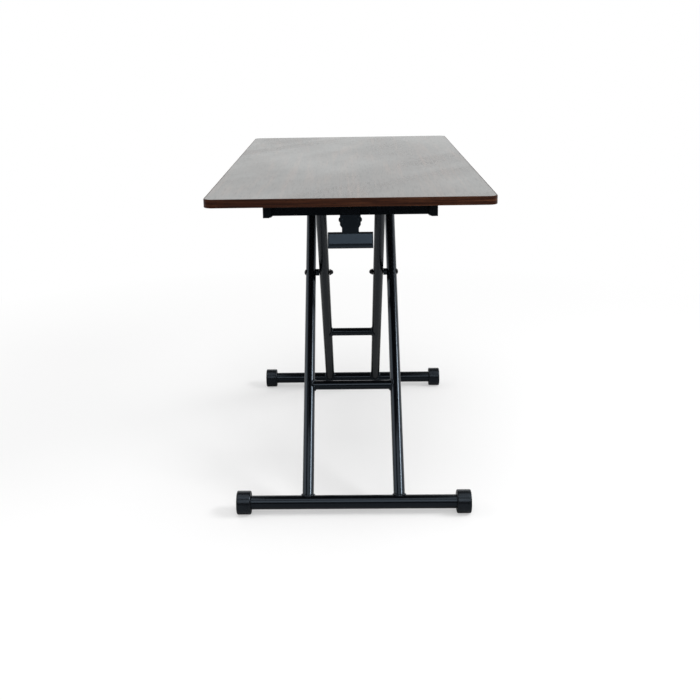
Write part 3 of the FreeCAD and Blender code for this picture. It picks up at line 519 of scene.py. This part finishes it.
# %% Saddle lines
SADDLE_STEPS = 72
ACROSS = Vector((1, 0, 0))


def middle_and_radius(node):
    """The middle and the radius of a tube that runs across the table."""
    low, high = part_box(node)
    return (low + high) / 2, (high.z - low.z) / 2


def saddle(centre, run, branch, run_radius, branch_radius, turns):
    """The line where a branch tube leaves the surface of a run tube, for angles round the branch."""
    side = branch.cross(run)
    line = []
    for turn in turns:
        swing = branch_radius * math.sin(turn)
        reach = math.sqrt(run_radius ** 2 - swing ** 2)
        line.append(centre + run * (branch_radius * math.cos(turn)) + side * swing + branch * reach)
    return line


def whole_turn():
    """Angles all the way round, without the last, which is the first again."""
    return [math.tau * step / SADDLE_STEPS for step in range(SADDLE_STEPS)]


def part_turn(first, last):
    """Angles from one to another, both included."""
    return [first + (last - first) * step / SADDLE_STEPS for step in range(SADDLE_STEPS + 1)]


def join_lines(lines):
    """Points and edges of several lines. A line is a list of points and whether it closes."""
    points, edges = [], []
    for line, closed in lines:
        first = len(points)
        points += line
        edges += [(first + step, first + step + 1) for step in range(len(line) - 1)]
        if closed:
            edges.append((len(points) - 1, first))
    return points, edges


print("steps round each saddle:", SADDLE_STEPS)

# %% [markdown]
# ## A weld bead
# A weld is a row of small overlapping ripples, softened here because the paint covers it. The tree
# walks along a line, puts a squat ball at each step and turns it to follow the line. A fixed seed
# varies the size of the balls a little.

# %% The tree of a weld bead
WELD_SEED = 7


def make_weld_tree():
    """Squat balls along a line, each a little larger or smaller than the next."""
    tree, inputs = new_workshop("weld_bead", ["Pitch", "Half length", "Half width", "Unevenness"])
    line = tree.node("GeometryNodeMeshToCurve", sockets={0: inputs["Geometry"]})
    steps = tree.node(
        "GeometryNodeResampleCurve", {"mode": "LENGTH"}, {0: line, "Length": inputs["Pitch"]},
    )
    ball = tree.node("GeometryNodeMeshIcoSphere", sockets={"Radius": 1.0, "Subdivisions": 2})
    tangent = tree.node("GeometryNodeInputTangent")
    turned = tree.node("FunctionNodeAlignRotationToVector", {"axis": "X"}, {"Vector": tangent})
    vary = tree.node(
        "FunctionNodeRandomValue", {"data_type": "FLOAT"},
        {2: 1 - inputs["Unevenness"], 3: 1 + inputs["Unevenness"], "Seed": WELD_SEED}, output=1,
    )
    length, width = inputs["Half length"] * vary, inputs["Half width"] * vary
    squat = tree.node("ShaderNodeCombineXYZ", sockets={0: length, 1: width, 2: width})
    beads = tree.node("GeometryNodeInstanceOnPoints", sockets={
        0: steps, "Instance": ball, "Rotation": turned, "Scale": squat,
    })
    return end_workshop(tree, inputs, beads)


weld_tree = make_weld_tree()
print("weld tree made with seed", WELD_SEED)

# %% [markdown]
# ## The welds of the two leg frames
# The same lines are drawn for both frames, outer and inner, because they differ only in spacing and
# lean. Under the top, the bar passes through the end of each leg, so that weld goes only part of the
# way round.

# %% Weld the leg frames
LEG_WELD = {"Pitch": 0.0021, "Half length": 0.0024, "Half width": 0.0030, "Unevenness": 0.10}
LEG_OVERRUN = 0.003


def frame_seams(kind, top_bar):
    """All the weld lines of one leg frame."""
    foot, foot_radius = middle_and_radius(kind + "_foot_tube")
    bar, bar_radius = middle_and_radius(top_bar)
    brace, brace_radius = middle_and_radius(kind + "_brace")
    lean = Vector((0, bar.y - foot.y, bar.z - foot.z)).normalized()
    open_angle = math.acos(LEG_OVERRUN / bar_radius)
    seams = []
    for hand in ("left", "right"):
        low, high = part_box(kind + "_" + hand + "_leg")
        x = (low.x + high.x) / 2
        leg_radius = (high.x - low.x) / 2
        inward = ACROSS if x < 0 else -ACROSS
        on_foot = foot + ACROSS * x
        seams.append((saddle(on_foot, ACROSS, lean, foot_radius, leg_radius, whole_turn()), True))
        on_leg = Vector((x, brace.y, brace.z))
        seams.append((saddle(on_leg, lean, inward, leg_radius, brace_radius, whole_turn()), True))
        for way in (ACROSS, -ACROSS):
            turns = part_turn(open_angle, math.tau - open_angle)
            seams.append((saddle(bar + ACROSS * x, lean, way, leg_radius, bar_radius, turns), False))
    return seams


for kind, top_bar in (("outer", "outer_top_bar"), ("inner", "inner_slide_bar")):
    weld_points, weld_edges = join_lines(frame_seams(kind, top_bar))
    values = {"Finish": powder_coat, **LEG_WELD}
    grow(
        kind + "_frame_welds", weld_points, weld_edges, weld_tree, values, kind + "_legs",
    )

# %% [markdown]
# ## The welds under the top
# The lugs are welded along their edge to the rails, and the two cross bars to the rails' lower lips.
# These lines are straight, and their places come from the boxes of the pieces.

# %% Weld the rails
RAIL_WELD = {"Pitch": 0.0017, "Half length": 0.0019, "Half width": 0.0016, "Unevenness": 0.10}
LUG_LENGTH = 0.030
LUGS_PER_RAIL = 3


def straight(start, end, steps=12):
    """Points along a straight line, both ends included."""
    return [start + (end - start) * (step / steps) for step in range(steps + 1)]


def rail_seams():
    """The weld lines of the lugs and of the cross bars."""
    seams = []
    lug_low, lug_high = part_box("rail_lugs")
    first, last = lug_low.y + LUG_LENGTH / 2, lug_high.y - LUG_LENGTH / 2
    rail_low, rail_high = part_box("right_rail")
    for side in (-1, 1):
        for row in range(LUGS_PER_RAIL):
            y = first + (last - first) * row / (LUGS_PER_RAIL - 1)
            face = Vector((side * rail_high.x, y, lug_low.z))
            half = Vector((0, LUG_LENGTH / 2 - RAIL_WELD["Half width"], 0))
            seams.append((straight(face - half, face + half), False))
        for bar in ("near_cross_bar", "far_cross_bar"):
            bar_low, bar_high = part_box(bar)
            lip_x = side * rail_low.x
            front = Vector((lip_x, bar_low.y, bar_low.z))
            back = Vector((lip_x, bar_high.y, bar_low.z))
            seams.append((straight(front, back), False))
    return seams


weld_points, weld_edges = join_lines(rail_seams())
values = {"Finish": powder_coat, **RAIL_WELD}
grow("rail_welds", weld_points, weld_edges, weld_tree, values, "table_top")

# %% [markdown]
# ## Wood screws
# Ten wood screws hold the rails, the lever bracket and the rack hanger. Each has a round head with a
# cross for the driver. One screw is made from a squashed ball, a shank and two crossed bars that are
# cut away, and the tree puts a copy on every point, turned by a fixed random angle.

# %% The tree of a screw
SCREW_SEED = 3
SCREW = {
    "Head radius": 0.0040, "Head height": 0.0032, "Shank radius": 0.0020, "Shank length": 0.0130,
    "Cross length": 0.0046, "Cross width": 0.0010, "Cross depth": 0.0015,
}


def make_screw_tree():
    """One screw, head down, copied to each point and turned."""
    tree, inputs = new_workshop("wood_screw", list(SCREW))

    def vector(x, y, z):
        return tree.node("ShaderNodeCombineXYZ", sockets={0: x, 1: y, 2: z})

    def moved(mesh, place):
        return tree.node("GeometryNodeTransform", sockets={0: mesh, "Translation": place})

    ball = tree.node("GeometryNodeMeshUVSphere", sockets={"Segments": 32, "Rings": 20, "Radius": 1.0})
    head_size = vector(inputs["Head radius"], inputs["Head radius"], inputs["Head height"])
    head = tree.node("GeometryNodeTransform", sockets={0: ball, "Scale": head_size})
    wide = inputs["Head radius"] * 3
    above = tree.node("GeometryNodeMeshCube", sockets={"Size": vector(wide, wide, wide)})
    above = moved(above, vector(0.0, 0.0, wide * 0.5))
    cuts = [above]
    drop = inputs["Cross depth"] * 0.5 - inputs["Head height"]
    for long_side in (0, 1):
        sides = [inputs["Cross width"], inputs["Cross width"], inputs["Cross depth"]]
        sides[long_side] = inputs["Cross length"]
        bar = tree.node("GeometryNodeMeshCube", sockets={"Size": vector(*sides)})
        cuts.append(moved(bar, vector(0.0, 0.0, drop)))
    cutter = tree.node("GeometryNodeJoinGeometry", sockets={0: cuts})
    cut_head = tree.node("GeometryNodeMeshBoolean", {"operation": "DIFFERENCE"}, {0: head, 1: cutter})
    shank = tree.node("GeometryNodeMeshCylinder", sockets={
        "Vertices": 20, "Radius": inputs["Shank radius"], "Depth": inputs["Shank length"],
    })
    shank = moved(shank, vector(0.0, 0.0, inputs["Shank length"] * 0.5))
    screw = tree.node("GeometryNodeJoinGeometry", sockets={0: [cut_head, shank]})
    turn = tree.node(
        "FunctionNodeRandomValue", {"data_type": "FLOAT"},
        {2: 0.0, 3: math.pi / 2, "Seed": SCREW_SEED}, output=1,
    )
    copies = tree.node("GeometryNodeInstanceOnPoints", sockets={
        0: inputs["Geometry"], "Instance": screw, "Rotation": vector(0.0, 0.0, turn),
    })
    return end_workshop(tree, inputs, copies)


screw_tree = make_screw_tree()
print("screw tree made with seed", SCREW_SEED)

# %% [markdown]
# ## Where the screws sit
# The construction model has a plain stand-in for each group of screws, and the box of a group says
# where its outer heads end. Half a head further in is the middle of a screw. A wide group has two
# columns, one in each rail, and a narrow one has a single column.

# %% Put the screws in
SCREWS_PER_BRACKET = 2


def screw_seats(node, rows):
    """The middles of a group of screws under their heads, from the box of the group."""
    low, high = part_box(node)
    seat = low.z + SCREW["Head height"]
    left, right = low.x + SCREW["Head radius"], high.x - SCREW["Head radius"]
    near, far = low.y + SCREW["Head radius"], high.y - SCREW["Head radius"]
    columns = [left, right] if right - left > SCREW["Head radius"] else [(left + right) / 2]
    places = [near + (far - near) * row / (rows - 1) for row in range(rows)]
    return [Vector((x, y, seat)) for x in columns for y in places]


seats = screw_seats("rail_screws", LUGS_PER_RAIL)
for group in ("lever_bracket_screws", "rack_hanger_screws"):
    seats += screw_seats(group, SCREWS_PER_BRACKET)
values = {"Finish": zinc_steel, **SCREW}
wood_screws = grow("wood_screws", seats, [], screw_tree, values, "table_top")
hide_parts("rail_screws", "lever_bracket_screws", "rack_hanger_screws")
print("screws:", len(seats))

# %% [markdown]
# ## The lever's return spring
# A wire wound five times round the lever pin, with one straight leg behind the lever and one under its
# bracket. The line is a formula, and a tree sweeps a round wire along it.

# %% Wind the spring
WIRE_RADIUS = 0.00075
SPRING_TURNS = 5
SPRING_PITCH = 0.0020
COIL_RADIUS = 0.00695
LOWER_LEG = 0.0140
POINTS_PER_TURN = 40
WIRE_SIDES = 14


def make_wire_tree():
    """A round wire along a line, closed at both ends."""
    tree, inputs = new_workshop("sprung_wire", ["Wire radius"])
    line = tree.node("GeometryNodeMeshToCurve", sockets={0: inputs["Geometry"]})
    section = tree.node("GeometryNodeCurvePrimitiveCircle", sockets={
        "Resolution": WIRE_SIDES, "Radius": inputs["Wire radius"],
    })
    wire = tree.node("GeometryNodeCurveToMesh", sockets={0: line, 1: section, "Fill Caps": True})
    return end_workshop(tree, inputs, wire)


def spring_line():
    """Points along the middle of the wire, from the lower leg to the upper one."""
    pin_low, pin_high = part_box("lever_pin")
    pin = (pin_low + pin_high) / 2
    upper_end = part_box("lever_spring")[1].z
    coil = []
    for step in range(SPRING_TURNS * POINTS_PER_TURN + 1):
        turn = step / POINTS_PER_TURN
        angle = math.pi - math.tau * turn
        along = SPRING_PITCH * (turn - SPRING_TURNS / 2)
        coil.append(pin + Vector((along, COIL_RADIUS * math.cos(angle), COIL_RADIUS * math.sin(angle))))
    lower = coil[0] - (coil[1] - coil[0]).normalized() * LOWER_LEG
    onward = (coil[-1] - coil[-2]).normalized()
    upper = coil[-1] + onward * ((upper_end - WIRE_RADIUS - coil[-1].z) / onward.z)
    return [lower] + coil + [upper]


spring_points, spring_edges = join_lines([(spring_line(), False)])
values = {"Finish": blackened_steel, "Wire radius": WIRE_RADIUS}
wire_tree = make_wire_tree()
lever_spring = grow(
    "return_spring", spring_points, spring_edges, wire_tree, values, "table_top",
)
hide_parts("lever_spring")

# %% [markdown]
# ## The studio
# The table stands on a plain pale floor before a white backdrop. The floor keeps the soft shadow near
# the feet and fades into white further out. Black tubes are drawn by what they reflect, so the room
# matters: white behind the table, dark behind the camera and overhead. One function describes that
# room, and both the far floor and the surroundings use it.

# %% The room in reflections
ROOM_DARK = 0.04
BACKDROP_STARTS = (-0.45, 0.35)


def room_level(tree, backward):
    """How bright the room looks in a direction, from the direction's part along the table."""
    return ROOM_DARK + rise(tree, backward, BACKDROP_STARTS) * (1 - ROOM_DARK)


def ray_kinds(tree):
    """Two switches: 1 for rays of the camera, and 1 for reflections or looks through clear pieces."""
    path = tree.node("ShaderNodeLightPath").output.node
    names = ("Is Camera Ray", "Is Glossy Ray", "Is Transmission Ray")
    camera_ray, glossy, clear = (Socket(tree, path.outputs[name]) for name in names)
    return camera_ray, glossy.maths("MAXIMUM", glossy, clear)


print("room brightness behind the camera:", ROOM_DARK)

# %% [markdown]
# ## The floor
# The floor is a large disc of matt paper that takes the shadow of the table. Further out it gives way
# to the backdrop's white for the camera, and to the room for reflections, each over its own distance.
# In reflections the paper gets a darker colour, a painted shade that stands for a floor in the shade of a
# table.

# %% Lay the floor
WHITE = colour(1, 1, 1)
FLOOR_RADIUS = 14.0
FLOOR_FADE = (-0.6, 1.8)
MIRRORED_FADE = (0.9, 2.6)
FLOOR_PAPER = colour(0.92, 0.92, 0.92)
FLOOR_PAINTED_SHADE = colour(0.32, 0.32, 0.32)


def make_floor():
    """A disc of paper that fades into the room."""
    mesh = bpy.data.meshes.new("floor")
    rim = [(FLOOR_RADIUS * math.cos(a), FLOOR_RADIUS * math.sin(a), 0.0) for a in whole_turn()]
    mesh.from_pydata(rim, [], [list(range(len(rim)))])
    floor = bpy.data.objects.new("floor", mesh)
    scene.collection.objects.link(floor)
    material, tree = new_finish("pale_floor")
    place = tree.node("ShaderNodeTexCoord", output="Object")
    distance = tree.node("ShaderNodeVectorMath", {"operation": "LENGTH"}, {0: place}, output="Value")
    backward = tree.node("ShaderNodeSeparateXYZ", sockets={0: place}, output="Y") / distance
    camera_ray, mirrored = ray_kinds(tree)
    far_level = camera_ray + mirrored * room_level(tree, backward)
    far_floor = tree.node("ShaderNodeEmission", sockets={"Color": WHITE, "Strength": far_level})
    # The paper's colour in reflections is a painted shade, darker than the paper itself.
    paper_colour = mix(tree, mirrored, FLOOR_PAPER, FLOOR_PAINTED_SHADE)
    paper = tree.node("ShaderNodeBsdfDiffuse", sockets={"Color": paper_colour})
    seen_share = rise(tree, distance, FLOOR_FADE) * camera_ray
    share = seen_share + rise(tree, distance, MIRRORED_FADE) * mirrored
    surface = tree.node("ShaderNodeMixShader", sockets={0: share, 1: paper, 2: far_floor})
    tree.node("ShaderNodeOutputMaterial", sockets={"Surface": surface})
    mesh.materials.append(material)


make_floor()
print("floor radius", FLOOR_RADIUS)

# %% [markdown]
# ## The surroundings
# The world does three jobs. The camera sees plain white, reflections see the room with its dark
# ceiling, and everything else gets an even level of soft light from all sides.

# %% Surround the table
AMBIENT = 0.60
CEILING = 0.08
CEILING_STARTS = (0.40, 0.80)


def make_surroundings():
    """White for the camera, the room for reflections and even light for the rest."""
    world = bpy.data.worlds.new("studio")
    world.use_nodes = True
    world.node_tree.nodes.clear()
    tree = Tree(world.node_tree)
    way = tree.node("ShaderNodeTexCoord", output="Generated")
    axes = tree.node("ShaderNodeSeparateXYZ", sockets={0: way}).output.node
    backward, upward = Socket(tree, axes.outputs["Y"]), Socket(tree, axes.outputs["Z"])
    under_ceiling = 1 - rise(tree, upward, CEILING_STARTS) * (1 - CEILING)
    camera_ray, mirrored = ray_kinds(tree)
    unseen = 1 - camera_ray - mirrored
    level = camera_ray + mirrored * room_level(tree, backward) * under_ceiling + unseen * AMBIENT
    back = tree.node("ShaderNodeBackground", sockets={"Color": WHITE, "Strength": level})
    tree.node("ShaderNodeOutputWorld", sockets={"Surface": back})
    scene.world = world


make_surroundings()
print("ambient level", AMBIENT, "ceiling in reflections", CEILING)

# %% [markdown]
# ## The lamps
# Four soft boxes light the table: a large one above, one in front, a narrow bright strip on the right
# that draws the long streaks on the tubes, and a weak one on the left. A lamp's brightness is given
# as that of its face, because this is what a glossy tube shows, and its power follows from its size.

# %% Light the table
def make_lamp(name, place, target, width, height, radiance):
    """A soft rectangular lamp that faces a point. Its power follows from how bright its face is."""
    light = bpy.data.lights.new(name, "AREA")
    light.shape = "RECTANGLE"
    light.size = width
    light.size_y = height
    light.energy = math.pi * width * height * radiance
    lamp = bpy.data.objects.new(name, light)
    lamp.location = place
    lamp.rotation_euler = (Vector(target) - Vector(place)).to_track_quat("-Z", "Y").to_euler()
    lamp.visible_camera = False
    scene.collection.objects.link(lamp)
    print(name, "power", round(light.energy, 1), "W")


make_lamp(
    "overhead_softbox", place=(0.0, -0.7, 3.3), target=(0.0, -0.3, 0.5),
    width=2.6, height=2.8, radiance=1.4,
)
make_lamp(
    "front_softbox", place=(0.2, -3.2, 2.3), target=(0.0, 0.0, 0.4),
    width=2.4, height=1.7, radiance=1.65,
)
make_lamp(
    "right_softbox", place=(2.3, -0.75, 2.1), target=(0.0, -0.1, 0.25),
    width=1.5, height=0.50, radiance=19.0,
)
make_lamp(
    "left_softbox", place=(-2.4, -0.3, 1.7), target=(0.0, -0.1, 0.3),
    width=1.8, height=1.4, radiance=0.9,
)
